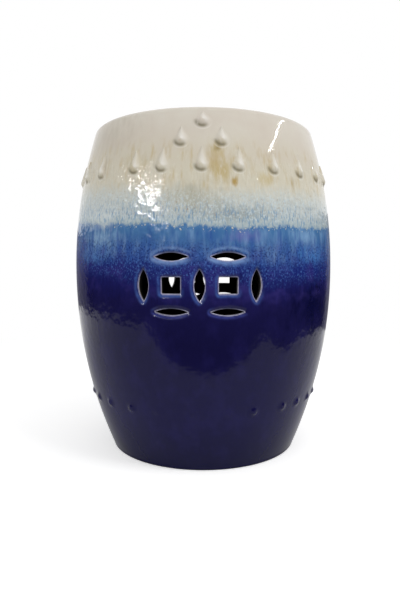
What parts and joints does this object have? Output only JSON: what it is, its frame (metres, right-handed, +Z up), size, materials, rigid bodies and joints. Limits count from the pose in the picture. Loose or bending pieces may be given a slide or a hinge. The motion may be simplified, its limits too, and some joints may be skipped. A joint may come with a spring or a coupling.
{
  "type": "garden stool",
  "caption": "Barrel-shaped ceramic garden stool with a gently crowned seat, pierced double-coin panels, teardrop bosses round the shoulder and round studs above the foot.",
  "frame": {"origin": "centre of the foot, on the surface that the stool stands on", "axes": "+Z up along the barrel's axis; the front panel faces -Y; +X to the right seen from the front"},
  "size_m": [0.3548, 0.3548, 0.433],
  "materials": {
    "deep_blue_glaze": "glossy deep indigo glaze",
    "flowing_blue_glaze": "glossy blue glaze that runs and fades downwards",
    "cream_glaze": "glossy taupe cream glaze with ochre runs",
    "bare_clay": "unglazed fired clay"
  },
  "bodies": {
    "root": {"lower_wall": "deep_blue_glaze", "upper_wall": "flowing_blue_glaze", "seat_top": "cream_glaze", "foot_ring": "bare_clay", "ring_drop_01": "cream_glaze", "ring_drop_02": "cream_glaze", "ring_drop_03": "cream_glaze", "ring_drop_04": "cream_glaze", "ring_drop_05": "cream_glaze", "ring_drop_06": "cream_glaze", "ring_drop_07": "cream_glaze", "ring_drop_08": "cream_glaze", "ring_drop_09": "cream_glaze", "ring_drop_10": "cream_glaze", "ring_drop_11": "cream_glaze", "ring_drop_12": "cream_glaze", "ring_drop_13": "cream_glaze", "ring_drop_14": "cream_glaze", "ring_drop_15": "cream_glaze", "ring_drop_16": "cream_glaze", "ring_drop_17": "cream_glaze", "ring_drop_18": "cream_glaze", "ring_drop_19": "cream_glaze", "ring_drop_20": "cream_glaze", "ring_drop_21": "cream_glaze", "ring_drop_22": "cream_glaze", "ring_drop_23": "cream_glaze", "ring_drop_24": "cream_glaze", "pair_drop_front_left": "cream_glaze", "pair_drop_front_right": "cream_glaze", "crown_boss_front": "cream_glaze", "pair_drop_back_left": "cream_glaze", "pair_drop_back_right": "cream_glaze", "crown_boss_back": "cream_glaze", "lower_studs": "deep_blue_glaze"}
  },
  "joints": []
}
